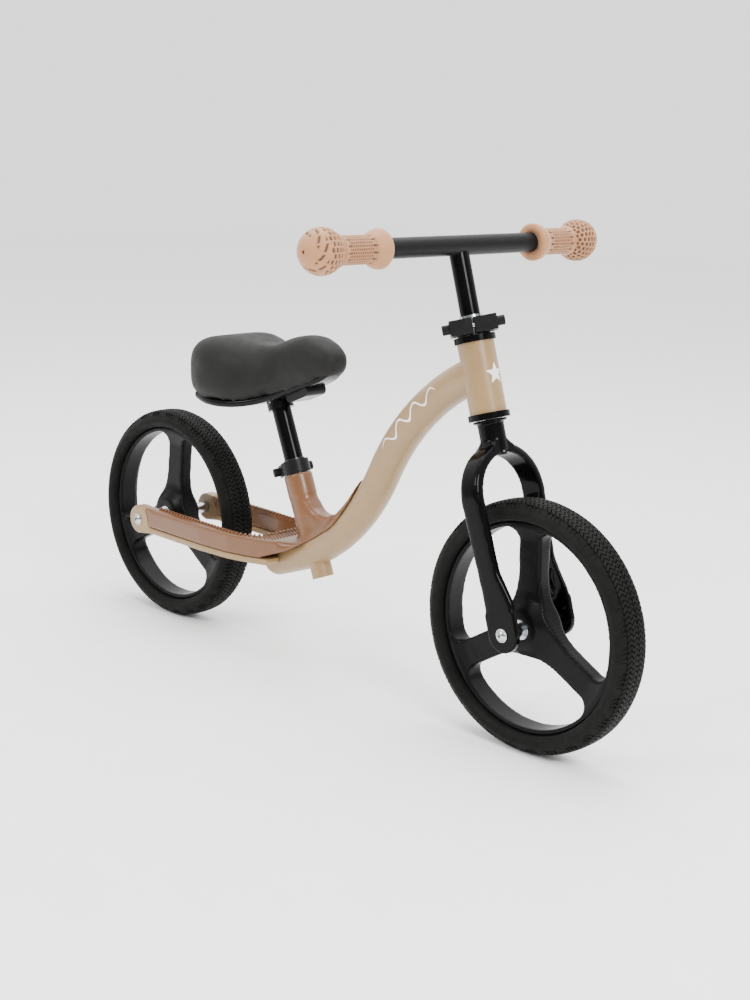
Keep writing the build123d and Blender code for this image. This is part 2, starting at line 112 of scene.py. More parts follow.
def tone_ramp(tree, where, colour, size_mm, darker, lighter, ends):
    """Colour that drifts between a darker and a lighter tone over patches of a given size."""
    patches = node(tree, "ShaderNodeTexNoise", {"Vector": where, "Scale": 1 / (size_mm * MM), "Detail": 4.0})
    ramp = node(tree, "ShaderNodeValToRGB", {"Fac": patches.outputs["Fac"]})
    for stop, position, factor in zip(ramp.color_ramp.elements, ends, (darker, lighter)):
        stop.position = position
        stop.color = (*[min(c * factor, 1) for c in colour], 1)
    return ramp.outputs["Color"]


def mottled(tree, where, shader, colour, size_mm, darker, lighter):
    """Base colour with patches of a darker and a lighter tone."""
    tones = tone_ramp(tree, where, colour, size_mm, darker, lighter, (0.3, 0.7))
    tree.links.new(tones, shader.inputs["Base Color"])


def uneven_gloss(tree, where, shader, size_mm, low, high):
    """Roughness that varies between two values, as handling and moulding leave it."""
    patches = node(tree, "ShaderNodeTexNoise", {"Vector": where, "Scale": 1 / (size_mm * MM), "Detail": 3.0})
    spread = node(tree, "ShaderNodeMapRange", {"Value": patches.outputs["Fac"], "From Min": 0.3,
                                               "From Max": 0.7, "To Min": low, "To Max": high})
    tree.links.new(spread.outputs["Result"], shader.inputs["Roughness"])


def relief(tree, shader, height, depth_mm, strength, below=None):
    """Bump of a given depth on the shader's normal, over another bump if there is one."""
    bump = node(tree, "ShaderNodeBump", {"Height": height, "Distance": depth_mm * MM, "Strength": strength})
    if below is not None:
        tree.links.new(below.outputs["Normal"], bump.inputs["Normal"])
    tree.links.new(bump.outputs["Normal"], shader.inputs["Normal"])
    return bump


def grained(tree, where, shader, size_mm, depth_mm, strength, detail=3.0):
    """Bump from noise of a given size and depth."""
    grain = node(tree, "ShaderNodeTexNoise", {"Vector": where, "Scale": 1 / (size_mm * MM), "Detail": detail})
    return relief(tree, shader, grain.outputs["Fac"], depth_mm, strength)


# ------------------------------------------------------------------ finishes
def powder_coat(name, colour):
    """Gloss powder coat on metal: a clear sheen over very fine orange peel, about 1.5 mm across."""
    material, tree, where, shader = start_finish(name, 0.4, coat=0.18, coat_roughness=0.16, shine=0.4)
    mottled(tree, where, shader, colour, 18, 0.95, 1.04)
    uneven_gloss(tree, where, shader, 6, 0.3, 0.38)
    grained(tree, where, shader, 1.6, 0.05, 0.25, 2.0)
    return material


def sleeve_coat(name, colour, black, border):
    """Powder coat of the seat sleeve: frame colour below the border's height, black on the lip above."""
    material = powder_coat(name, colour)
    tree = material.node_tree
    shader = tree.nodes["Principled BSDF"]
    where = node(tree, "ShaderNodeTexCoord").outputs["Object"]
    height = node(tree, "ShaderNodeSeparateXYZ", {"Vector": where}).outputs["Z"]
    lip = node(tree, "ShaderNodeMapRange", {"Value": height, "From Min": border, "From Max": border + MM})
    below = shader.inputs["Base Color"].links[0].from_socket
    mixed = node(tree, "ShaderNodeMix", {"Factor": lip.outputs[0], "A": below, "B": (*black, 1)},
                 data_type="RGBA")
    tree.links.new(mixed.outputs["Result"], shader.inputs["Base Color"])
    return material


def black_gloss_coat(name, colour):
    """Black gloss enamel, baked: deep, with sharp highlights and faint waviness."""
    material, tree, where, shader = start_finish(name, 0.12, shine=0.08)
    mottled(tree, where, shader, colour, 12, 0.85, 1.15)
    uneven_gloss(tree, where, shader, 5, 0.1, 0.16)
    grained(tree, where, shader, 2.2, 0.04, 0.2, 2.0)
    return material


def satin_black_coat(name, colour):
    """Satin black powder coat on the handlebar: broad soft highlight, fine texture about 0.8 mm across."""
    material, tree, where, shader = start_finish(name, 0.42, shine=0.11)
    mottled(tree, where, shader, colour, 8, 0.9, 1.12)
    uneven_gloss(tree, where, shader, 3, 0.38, 0.48)
    grained(tree, where, shader, 0.8, 0.05, 0.4)
    return material


def zinc_plate(name, colour):
    """Bright zinc plate on steel: metal with a slight blue-yellow cast and fine rolled grain."""
    material, tree, where, shader = start_finish(name, 0.2, metallic=1.0)
    mottled(tree, where, shader, colour, 3, 0.86, 1.08)
    uneven_gloss(tree, where, shader, 1.5, 0.14, 0.26)
    grained(tree, where, shader, 0.5, 0.02, 0.4, 4.0)
    return material


def foam_tyre(name, colour):
    """Moulded EVA foam: matte charcoal skin with closed-cell pitting about 0.9 mm across."""
    material, tree, where, shader = start_finish(name, 0.62, ior=1.45, shine=0.1)
    mottled(tree, where, shader, colour, 9, 0.8, 1.25)
    uneven_gloss(tree, where, shader, 4, 0.52, 0.7)
    cells = node(tree, "ShaderNodeTexVoronoi", {"Vector": where, "Scale": 1 / (0.9 * MM)})
    first = grained(tree, where, shader, 5, 0.3, 0.3)
    relief(tree, shader, cells.outputs["Distance"], 0.12, 0.35, first)
    return material


def glass_filled_nylon(name, colour, centre):
    """Injection-moulded glass-filled nylon: near-black, semi-gloss, a 3 mm grid in the spokes."""
    material, tree, where, shader = start_finish(name, 0.34, ior=1.53, shine=0.08)
    mottled(tree, where, shader, colour, 14, 0.82, 1.2)
    uneven_gloss(tree, where, shader, 9, 0.3, 0.38)
    local = node(tree, "ShaderNodeVectorMath", {0: where, 1: tuple(centre)}, operation="SUBTRACT").outputs[0]
    axes = node(tree, "ShaderNodeSeparateXYZ", {"Vector": local})
    waves = 2 * math.pi / (3.0 * MM)
    lines = []
    for axis in ("X", "Z"):
        turns = node(tree, "ShaderNodeMath", {0: axes.outputs[axis], 1: waves},
                     operation="MULTIPLY").outputs[0]
        lines.append(node(tree, "ShaderNodeMath", {0: turns}, operation="SINE").outputs[0])
    grid = node(tree, "ShaderNodeMath", {0: lines[0], 1: lines[1]}, operation="MAXIMUM").outputs[0]
    flat = node(tree, "ShaderNodeVectorMath", {0: local, 1: (1, 0, 1)}, operation="MULTIPLY").outputs[0]
    radius = node(tree, "ShaderNodeVectorMath", {0: flat}, operation="LENGTH").outputs["Value"]
    outside = node(tree, "ShaderNodeMapRange", {"Value": radius, "From Min": 0.026, "From Max": 0.030})
    inside = node(tree, "ShaderNodeMapRange", {"Value": radius, "From Min": 0.098, "From Max": 0.092})
    band = node(tree, "ShaderNodeMath", {0: outside.outputs[0], 1: inside.outputs[0]}, operation="MULTIPLY")
    height = node(tree, "ShaderNodeMath", {0: grid, 1: band.outputs[0]}, operation="MULTIPLY").outputs[0]
    first = grained(tree, where, shader, 1.0, 0.01, 0.25)
    relief(tree, shader, height, 0.14, 0.5, first)
    return material


def moulded_plastic(name, colour, roughness):
    """Moulded black plastic: even, slightly textured, about 1.2 mm grain."""
    material, tree, where, shader = start_finish(name, roughness, shine=0.12)
    mottled(tree, where, shader, colour, 7, 0.85, 1.18)
    uneven_gloss(tree, where, shader, 3, roughness * 0.85, roughness * 1.15)
    grained(tree, where, shader, 1.2, 0.05, 0.35)
    return material


def soft_grip_rubber(name, colour):
    """Thermoplastic rubber: matte peach with a dusty sheen, with painted shade that darkens it down in the
    moulded slots.
    """
    material, tree, where, shader = start_finish(name, 0.6, ior=1.48)
    shader.inputs["Sheen Weight"].default_value = 0.15
    shader.inputs["Subsurface Weight"].default_value = 0.08
    shader.inputs["Subsurface Radius"].default_value = (0.004, 0.002, 0.001)
    tone = tone_ramp(tree, where, colour, 7, 0.95, 1.04, (0, 1))
    # painted shade: the colour is mixed towards a much darker tone by the 'sunk' slot mask, standing in for
    # the shade inside the slots
    shade = [c * part for c, part in zip(colour, (0.22, 0.16, 0.12))]
    sunk = node(tree, "ShaderNodeAttribute", attribute_name="sunk").outputs["Fac"]
    deep = node(tree, "ShaderNodeMix", {"Factor": sunk, "A": tone, "B": (*shade, 1)}, data_type="RGBA")
    tree.links.new(deep.outputs["Result"], shader.inputs["Base Color"])
    uneven_gloss(tree, where, shader, 4, 0.52, 0.66)
    grained(tree, where, shader, 0.7, 0.05, 0.4)
    return material


def saddle_skin(name, colour):
    """Integral-skin polyurethane: matte dark grey with a 1.1 mm leather grain."""
    material, tree, where, shader = start_finish(name, 0.55, ior=1.47, shine=0.14)
    mottled(tree, where, shader, colour, 25, 0.9, 1.12)
    uneven_gloss(tree, where, shader, 12, 0.48, 0.6)
    cells = node(tree, "ShaderNodeTexVoronoi", {"Vector": where, "Scale": 1 / (1.1 * MM)},
                 feature="DISTANCE_TO_EDGE")
    relief(tree, shader, cells.outputs["Distance"], 0.08, 0.3)
    return material


def white_print(name, colour):
    """Pad-printed white ink, thin and even, with a slight gloss."""
    material, tree, where, shader = start_finish(name, 0.4)
    mottled(tree, where, shader, colour, 4, 0.97, 1.0)
    return material


def colour_setting(name, description, code):
    """Colour property with an sRGB hex default."""
    return FloatVectorProperty(name=name, description=description, subtype="COLOR", min=0, max=1,
                               default=linear(code))


class BikeColours(bpy.types.PropertyGroup):
    frame_sand: colour_setting("Frame", "Powder coat of the tubes", "#8F7450")
    deck_copper: colour_setting("Deck", "Powder coat of the footrest casting", "#694428")
    black: colour_setting("Black enamel", "Fork, stem and seat post", "#080808")
    tyre: colour_setting("Tyre", "Foam of the tyres", "#10100F")
    nylon: colour_setting("Wheel", "Nylon of the wheels", "#0A0A0B")
    grip: colour_setting("Grip", "Rubber of the grips", "#A8764E")
    saddle: colour_setting("Saddle", "Skin of the saddle", "#1C1C1B")
    zinc: colour_setting("Hardware", "Zinc plate of bolts and axles", "#BDBFC2")


class BikeTread(bpy.types.PropertyGroup):
    repeats: IntProperty(name="Tread repeats", description="Pattern units round the tyre", default=30, min=8)
    groove: FloatProperty(name="Groove depth", description="Depth of the grooves between blocks",
                          default=2.2 * MM, unit="LENGTH", min=0.5 * MM)


class BikeGrips(bpy.types.PropertyGroup):
    slot_pitch: FloatProperty(name="Slot pitch", description="Spacing of the slots along the grip",
                              default=3.1 * MM, unit="LENGTH", min=1 * MM)
    slot_rows: IntProperty(name="Slot rows", description="Rows of slots round the grip", default=26, min=4)
    slot_depth: FloatProperty(name="Slot depth", description="Depth of the slots", default=1.0 * MM,
                              unit="LENGTH", min=0.1 * MM)


class BikeFork(bpy.types.PropertyGroup):
    crown_passes: IntProperty(name="Crown passes", description="Smoothing that crowns the outer skin",
                              default=45, min=0)


class BikeDeck(bpy.types.PropertyGroup):
    stud_pitch: FloatProperty(name="Stud pitch", description="Spacing of the studs round the slot",
                              default=6.2 * MM, unit="LENGTH", min=2 * MM)
    fillet_passes: IntProperty(name="Fillet passes", description="Smoothing of the casting's inner corners",
                               default=60, min=0)


class BikeSaddle(bpy.types.PropertyGroup):
    pressure: FloatProperty(name="Foam pressure", description="Pressure that swells the pad", default=4.0)
    cap: FloatProperty(name="Swell limit", description="Most that a point of the pad may move",
                       default=5.0 * MM, unit="LENGTH")


class BikeSettings(bpy.types.PropertyGroup):
    colours: PointerProperty(type=BikeColours)
    tread: PointerProperty(type=BikeTread)
    grips: PointerProperty(type=BikeGrips)
    fork: PointerProperty(type=BikeFork)
    deck: PointerProperty(type=BikeDeck)
    saddle: PointerProperty(type=BikeSaddle)


def settings():
    return bpy.context.scene.balance_bike


def finish(name):
    """The finish of that name, made the first time it is asked for."""
    if name in bpy.data.materials:
        return bpy.data.materials[name]
    c = settings().colours
    makers = {
        "sand_powder_coat": lambda: powder_coat(name, c.frame_sand),
        "seat_sleeve_coat": lambda: sleeve_coat(name, c.frame_sand, c.black, 200 * MM),
        "copper_powder_coat": lambda: powder_coat(name, c.deck_copper),
        "black_gloss_enamel": lambda: black_gloss_coat(name, c.black),
        "satin_black_coat": lambda: satin_black_coat(name, linear("#121213")),
        "bright_zinc_plate": lambda: zinc_plate(name, c.zinc),
        "ground_bearing_steel": lambda: zinc_plate(name, linear("#B4B6BA")),
        "moulded_eva_foam": lambda: foam_tyre(name, c.tyre),
        "front_wheel_nylon": lambda: glass_filled_nylon(name, c.nylon, WHEEL_CENTRES["front"]),
        "rear_wheel_nylon": lambda: glass_filled_nylon(name, c.nylon, WHEEL_CENTRES["rear"]),
        "moulded_black_nylon": lambda: moulded_plastic(name, linear("#141415"), 0.38),
        "gloss_black_shell": lambda: moulded_plastic(name, linear("#0D0D0E"), 0.2),
        "soft_grip_rubber": lambda: soft_grip_rubber(name, c.grip),
        "polyurethane_skin": lambda: saddle_skin(name, c.saddle),
        "white_pad_print": lambda: white_print(name, linear("#F4F1EC")),
    }
    return makers[name]()


# ------------------------------------------------------------------ mesh helpers
def dress(obj, material):
    """Give the whole object one finish."""
    obj.data.materials.clear()
    obj.data.materials.append(material)


def in_scene(name, mesh):
    obj = bpy.data.objects.new(name, mesh)
    bpy.context.scene.collection.objects.link(obj)
    return obj


def new_piece(name, verts, faces, material, smooth=True):
    """New object from points and faces, with its faces turned outwards."""
    mesh = bpy.data.meshes.new(name)
    mesh.from_pydata(verts, [], faces)
    mesh.validate()
    obj = in_scene(name, mesh)
    work = bmesh.new()
    work.from_mesh(mesh)
    bmesh.ops.recalc_face_normals(work, faces=work.faces)
    work.to_mesh(mesh)
    work.free()
    for face in mesh.polygons:
        face.use_smooth = smooth
    dress(obj, material)
    return obj


def place(obj, body, slot, *nodes):
    """Ride on a body and stand for CAD nodes. The slot is not used."""
    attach(obj, body)
    if nodes:
        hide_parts(*nodes)
    return obj


def plain_mesh(obj):
    """Apply an object's modifiers: its evaluated mesh takes the place of its own."""
    graph = bpy.context.evaluated_depsgraph_get()
    mesh = bpy.data.meshes.new_from_object(obj.evaluated_get(graph), preserve_all_data_layers=True,
                                           depsgraph=graph)
    obj.modifiers.clear()
    obj.data = mesh
    return obj


def from_bmesh(name, work):
    """New object in the scene from a finished bmesh, which is freed."""
    mesh = bpy.data.meshes.new(name)
    work.to_mesh(mesh)
    work.free()
    return in_scene(name, mesh)


def shade_smooth(obj):
    for face in obj.data.polygons:
        face.use_smooth = True


def merged_copy(name, *nodes):
    """One new object from copies of CAD nodes, with their loose triangles joined."""
    work = bmesh.new()
    for cad in nodes:
        work.from_mesh(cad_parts[cad].data)
    bmesh.ops.remove_doubles(work, verts=work.verts, dist=0.01 * MM)
    return from_bmesh(name, work)


def softened(name, voxel_mm, passes, *nodes):
    """Copy of CAD nodes as one casting or moulding, whose edges are rounded as the mould leaves them."""
    obj = merged_copy(name, *nodes)
    remesh = obj.modifiers.new("skin", "REMESH")
    remesh.mode = "VOXEL"
    remesh.voxel_size = voxel_mm * MM
    smooth = obj.modifiers.new("round", "SMOOTH")
    smooth.factor = 0.5
    smooth.iterations = passes
    plain_mesh(obj)
    shade_smooth(obj)
    return obj


def relax(obj, wanted, passes):
    """Smooth the vertices that a test picks, so that the corners between them round off."""
    work = bmesh.new()
    work.from_mesh(obj.data)
    chosen = [v for v in work.verts if wanted(v.co)]
    for _ in range(passes):
        bmesh.ops.smooth_vert(work, verts=chosen, factor=0.5,
                              use_axis_x=True, use_axis_y=True, use_axis_z=True)
    work.to_mesh(obj.data)
    work.free()


def lathe(profile, steps):
    """Vertices and quads of a closed revolve about Y from (radius, y) points in millimetres."""
    verts, faces = [], []
    for i in range(steps):
        turn = 2 * math.pi * i / steps
        verts += [(r * math.cos(turn) * MM, y * MM, r * math.sin(turn) * MM) for r, y in profile]
    count = len(profile)
    for i in range(steps):
        a, b = i * count, ((i + 1) % steps) * count
        for k in range(count):
            n = (k + 1) % count
            faces.append((a + k, a + n, b + n, b + k))
    return verts, faces


def run_tree(obj, tree, values):
    """Give an object a Geometry Nodes tree, set its named inputs, and keep the plain result."""
    modifier = obj.modifiers.new(tree.name, "NODES")
    modifier.node_group = tree
    for item in tree.interface.items_tree:
        if item.item_type == "SOCKET" and item.in_out == "INPUT" and item.name in values:
            modifier[item.identifier] = values[item.name]
    return plain_mesh(obj)


def new_tree(name, inputs):
    """A Geometry Nodes tree with a geometry in and out and named inputs of a type and default."""
    tree = bpy.data.node_groups.new(name, "GeometryNodeTree")
    tree.interface.new_socket("Geometry", in_out="INPUT", socket_type="NodeSocketGeometry")
    tree.interface.new_socket("Geometry", in_out="OUTPUT", socket_type="NodeSocketGeometry")
    for label, kind, default in inputs:
        socket = tree.interface.new_socket(label, in_out="INPUT", socket_type=kind)
        if default is not None:
            socket.default_value = default
    return tree, node(tree, "NodeGroupInput").outputs


# ------------------------------------------------------------------ tyres
# half profile of the tyre's outer surface: distance from the middle plane, depth below the tread, in mm
TYRE_FACE = ((0, 0), (6, 0), (11.5, 0.8), (17, 3.4), (20.8, 8.5), (23, 13))
TYRE_BEAD = ((22.6, 17), (21.1, 20.6), (17.5, 22.2), (14.4, 23))


def tyre_depth(across):
    """How far the tyre's surface lies below its widest radius at a distance from the middle plane."""
    across = abs(across)
    for (y0, d0), (y1, d1) in zip(TYRE_FACE, TYRE_FACE[1:]):
        if across <= y1:
            return d0 + (d1 - d0) * (across - y0) / (y1 - y0)
    return TYRE_FACE[-1][1]


def tread_block(work, stations, groove, draft=0.35, foot=0.6, clearance=0.02):
    """One tread block with drafted sides, from (start, end, across) stations in mm on the tyre's face."""
    rows = []
    for u0, u1, across in stations:
        row = []
        for u, sink in ((u0, groove + foot), (u0 + draft, 0), (u1 - draft, 0), (u1, groove + foot)):
            radius = TYRE_RADIUS - tyre_depth(across) - sink - clearance
            angle = u / TYRE_RADIUS
            lean = 1 - 0.25 * sink / 23 if abs(across) > 15 else 1
            point = Vector((math.sin(angle) * radius, across * lean, math.cos(angle) * radius))
            row.append(work.verts.new(point * MM))
        rows.append(row)
    for a, b in zip(rows, rows[1:]):
        for k in range(3):
            work.faces.new((a[k], a[k + 1], b[k + 1], b[k]))
        work.faces.new((a[3], a[0], b[0], b[3]))
    work.faces.new(rows[0])
    work.faces.new(list(reversed(rows[-1])))


# half of a crown rib, as distance from the middle plane and how far it is pushed round the tyre, in mm
ZIGZAG = ((0, 5.0), (3.6, 1.6), (7.5, 6.2), (11.5, 2.2), (15.6, 6.2))
# shoulder blocks: start and end round the tyre and reach across it, in mm of a repeat that is 29.7 mm long
SHOULDER_REPEAT = 29.7
SHOULDER = ((0, 11.4, 22.9), (14.4, 17.0, 20.6), (20.0, 22.6, 21.4), (25.6, 29.7, 22.9))


def tread_unit(length, groove_mm):
    """One repeat of the tread: zigzag crown ribs, and shoulder blocks parted by groups of notches."""
    work = bmesh.new()
    ribs, gap, seam, shoulder, slant = 5, 1.0, 0.45, 16.3, 2.4
    pitch = length / ribs
    for k in range(ribs):
        for side in (-1, 1):
            stations = [(k * pitch + push, (k + 1) * pitch + push - gap, side * (y or seam))
                        for y, push in ZIGZAG]
            tread_block(work, stations, groove_mm)
    for side in (1, -1):
        shift = 0 if side > 0 else length / 2
        for start, end, reach in SHOULDER:
            u0, u1 = (u * length / SHOULDER_REPEAT + shift for u in (start, end))
            tread_block(work, [(u0, u1, side * shoulder),
                               (u0 + slant / 2, u1 + slant / 2, side * (shoulder + reach) / 2),
                               (u0 + slant, u1 + slant - 0.2, side * reach)], groove_mm)
    bmesh.ops.recalc_face_normals(work, faces=work.faces)
    return from_bmesh("tread_unit", work)


def tread_tree():
    """Turns the tread unit round the wheel's axis, joins it to the carcass and moves both to the axle."""
    tree, given = new_tree("tread_round_tyre", (
        ("Unit", "NodeSocketObject", None), ("Repeats", "NodeSocketInt", 30),
        ("Axle", "NodeSocketVector", (0, 0, 0)), ("Finish", "NodeSocketMaterial", None)))
    unit = node(tree, "GeometryNodeObjectInfo", {"Object": given["Unit"]})
    points = node(tree, "GeometryNodePoints", {"Count": given["Repeats"]})
    step = node(tree, "ShaderNodeMath", {0: 2 * math.pi, 1: given["Repeats"]}, operation="DIVIDE")
    index = node(tree, "GeometryNodeInputIndex")
    turn = node(tree, "ShaderNodeMath", {0: index.outputs[0], 1: step.outputs[0]}, operation="MULTIPLY")
    spin = node(tree, "ShaderNodeCombineXYZ", {"Y": turn.outputs[0]})
    blocks = node(tree, "GeometryNodeInstanceOnPoints", {
        "Points": points.outputs[0], "Instance": unit.outputs["Geometry"], "Rotation": spin.outputs[0]})
    real = node(tree, "GeometryNodeRealizeInstances", {"Geometry": blocks.outputs[0]})
    whole = node(tree, "GeometryNodeJoinGeometry")
    tree.links.new(real.outputs[0], whole.inputs[0])
    tree.links.new(given["Geometry"], whole.inputs[0])
    moved = node(tree, "GeometryNodeTransform", {"Geometry": whole.outputs[0], "Translation": given["Axle"]})
    coated = node(tree, "GeometryNodeSetMaterial", {"Geometry": moved.outputs[0],
                                                    "Material": given["Finish"]})
    node(tree, "NodeGroupOutput", {"Geometry": coated.outputs[0]})
    return tree


class BIKE_OT_tyres(bpy.types.Operator):
    """Foam tyres with a zigzag block tread."""
    bl_idname = "bike.tyres"
    bl_label = "Tyres"

    def execute(self, context):
        tread = settings().tread
        groove = tread.groove / MM
        unit = tread_unit(2 * math.pi * TYRE_RADIUS / tread.repeats, groove)
        tree = tread_tree()
        half = [(TYRE_RADIUS - d - (groove if y < 20 else 0.3), y) for y, d in TYRE_FACE]
        half += [(TYRE_RADIUS - d, y) for y, d in TYRE_BEAD]
        profile = [(r, -y) for r, y in reversed(half[1:])] + half
        for wheel in ("front", "rear"):
            verts, faces = lathe(profile, 180)
            tyre = new_piece(wheel + "_foam_tyre", verts, faces, finish("moulded_eva_foam"))
            run_tree(tyre, tree, {"Unit": unit, "Repeats": tread.repeats, "Axle": WHEEL_CENTRES[wheel],
                                  "Finish": finish("moulded_eva_foam")})
            place(tyre, wheel + "_wheel", "eva_tyre", wheel + "_tyre")
        bpy.data.objects.remove(unit)
        return {"FINISHED"}


# ------------------------------------------------------------------ wheels and fork
class BIKE_OT_wheels(bpy.types.Operator):
    """Moulded nylon wheels with rounded window edges."""
    bl_idname = "bike.wheels"
    bl_label = "Wheels"

    def execute(self, context):
        for wheel in ("front", "rear"):
            moulding = softened(wheel + "_wheel_moulding", 1.7, 10, wheel + "_wheel")
            dress(moulding, finish(wheel + "_wheel_nylon"))
            place(moulding, wheel + "_wheel", "wheel_nylon", wheel + "_wheel")
        return {"FINISHED"}


class BIKE_OT_fork(bpy.types.Operator):
    """Cast fork with rounded edges under black gloss enamel."""
    bl_idname = "bike.fork"
    bl_label = "Fork"

    def execute(self, context):
        casting = softened("fork_casting", 1.3, 4, "fork")
        self.crown(casting)
        dress(casting, finish("black_gloss_enamel"))
        place(casting, "fork", "black_enamel", "fork")
        return {"FINISHED"}


    def crown(self, casting):
        """Relax the outer skin of the arch and legs, above the dropouts, until it is crowned."""
        arch, half_top, half_low, straight, bottom, neck = 144, 57.5, 51, 42, 22, 17

        def on_skin(at):
            up, out = (at / MM - STEERING_FOOT).dot(STEERING_AXIS), abs(at.y) / MM
            if up > arch:
                return -1 < half_top - math.hypot(up - arch, out) < 6.5 and out > neck
            spread = (half_top - half_low) * max(0, up - straight) / (arch - straight)
            return up > bottom and -1 < half_low + spread - out < 5 + 1.5 * up / arch

        relax(casting, on_skin, settings().fork.crown_passes)


# ------------------------------------------------------------------ footrest deck
def slot_path():
    """Points along the inner top edge of the wheel slot, from the right stay round to the left one."""
    front, half, corner, start = REAR + 217, 53.4, 36, REAR + 34
    points = [(start, -half), (front - corner, -half)]
    for degrees in range(15, 91, 15):
        a = math.radians(degrees)
        points.append((front + 3.4 - corner + corner * math.sin(a), corner - half - corner * math.cos(a)))
    return points + [(x, -y) for x, y in reversed(points)]


def stud_tree():
    """Studs at even spacing along a path."""
    tree, given = new_tree("studs_along_edge", (
        ("Stud", "NodeSocketObject", None), ("Pitch", "NodeSocketFloat", 6 * MM),
        ("Finish", "NodeSocketMaterial", None)))
    path = node(tree, "GeometryNodeMeshToCurve", {"Mesh": given["Geometry"]})
    points = node(tree, "GeometryNodeCurveToPoints", {"Curve": path.outputs[0], "Length": given["Pitch"]},
                  mode="LENGTH")
    stud = node(tree, "GeometryNodeObjectInfo", {"Object": given["Stud"]})
    facing = node(tree, "FunctionNodeAlignRotationToVector", {"Vector": points.outputs["Tangent"]}, axis="X")
    studs = node(tree, "GeometryNodeInstanceOnPoints", {"Points": points.outputs["Points"],
                 "Instance": stud.outputs["Geometry"], "Rotation": facing.outputs[0]})
    real = node(tree, "GeometryNodeRealizeInstances", {"Geometry": studs.outputs[0]})
    coated = node(tree, "GeometryNodeSetMaterial", {"Geometry": real.outputs[0], "Material": given["Finish"]})
    node(tree, "NodeGroupOutput", {"Geometry": coated.outputs[0]})
    return tree


def pegs(name, spots, corners, rings):
    """Tapered four-sided pegs on spots in mm: an outline, and (scale, height) rings from the foot up."""
    verts, faces = [], []
    for spot in spots:
        foot = len(verts)
        verts += [(Vector(spot) + Vector((x * scale, y * scale, up))) * MM
                  for scale, up in rings for x, y in corners]
        top = foot + 4 * (len(rings) - 1)
        for ring in range(foot, top, 4):
            faces += [(ring + k, ring + (k + 1) % 4, ring + 4 + (k + 1) % 4, ring + 4 + k) for k in range(4)]
        faces += [(foot + 3, foot + 2, foot + 1, foot), (top, top + 1, top + 2, top + 3)]
    return new_piece(name, verts, faces, finish("copper_powder_coat"), smooth=False)


class BIKE_OT_deck(bpy.types.Operator):
    """Footrest casting with large fillets, its two stays and the tread studs round the wheel slot."""
    bl_idname = "bike.deck"
    bl_label = "Footrest deck"

    def execute(self, context):
        casting = softened("footrest_casting", 1.6, 12, "footrest_deck")
        self.fillet(casting)
        dress(casting, finish("copper_powder_coat"))
        place(casting, "frame", "deck_enamel", "footrest_deck")
        for side in ("left", "right"):
            stay = softened(side + "_stay_casting", 1.4, 10, side + "_stay")
            dress(stay, finish("sand_powder_coat"))
            place(stay, "frame", "frame_enamel", side + "_stay")
        self.studs()
        self.grip_patch(casting)
        return {"FINISHED"}

    def fillet(self, casting):
        """Relax the skin round the foot of the seat tube boss until its corners are wide fillets."""
        def near_foot(at):
            out = at / MM - SEAT_FOOT
            along = out.dot(SEAT_AXIS)
            away = (out - SEAT_AXIS * along).length
            return -98 < along < -28 and 16.5 < away < 48 and at.z > 152.5 * MM and abs(at.y) < 40 * MM

        relax(casting, near_foot, settings().deck.fillet_passes)

    def studs(self):
        """Row of teeth along the inner top edge of the wheel slot."""
        outline = [(-1.6, -3), (1.6, -3), (1.6, 3), (-1.6, 3)]
        tooth = pegs("edge_tooth", [(0, 0, 0)], outline, [(1, -0.8), (0.8, 1.82), (0.55, 2.6)])
        path = bpy.data.meshes.new("slot_edge")
        points = [Vector((x, y, DECK_LEVEL)) * MM for x, y in slot_path()]
        path.from_pydata(points, [(i, i + 1) for i in range(len(points) - 1)], [])
        row = in_scene("slot_edge_teeth", path)
        run_tree(row, stud_tree(), {"Stud": tooth, "Pitch": settings().deck.stud_pitch,
                                    "Finish": finish("copper_powder_coat")})
        place(row, "frame", "deck_enamel")
        bpy.data.objects.remove(tooth)

    def grip_patch(self, casting):
        """Diamond points on the level top of the deck, between the wheel slot and the boss."""
        mesh = casting.data
        skin = BVHTree.FromPolygons([v.co for v in mesh.vertices], [tuple(f.vertices) for f in mesh.polygons])

        def level_at(x, y):
            hit, normal, _, _ = skin.ray_cast(Vector((x, y, DECK_LEVEL + 40)) * MM, Vector((0, 0, -1)))
            level = hit is not None and normal.z > 0.97 and hit.z / MM > DECK_LEVEL - 10
            return hit.z / MM if level else None

        spots = []
        for i in range(17):
            for j in range(-13, 14):
                x, y = REAR + 166 + i * 4.4, (j + 0.5 * (i % 2)) * 4.8
                around = [level_at(x + dx, y + dy) for dx, dy in ((0, 0), (4, 0), (-4, 0), (0, 4), (0, -4))]
                if None not in around and max(around) - min(around) <= 0.8:
                    spots.append((x, y, around[0]))
        diamond = [(-1, 0), (0, -1), (1, 0), (0, 1)]
        place(pegs("deck_grip_points", spots, diamond, [(2.1, -0.6), (1.2, 1.3)]), "frame", "deck_enamel")


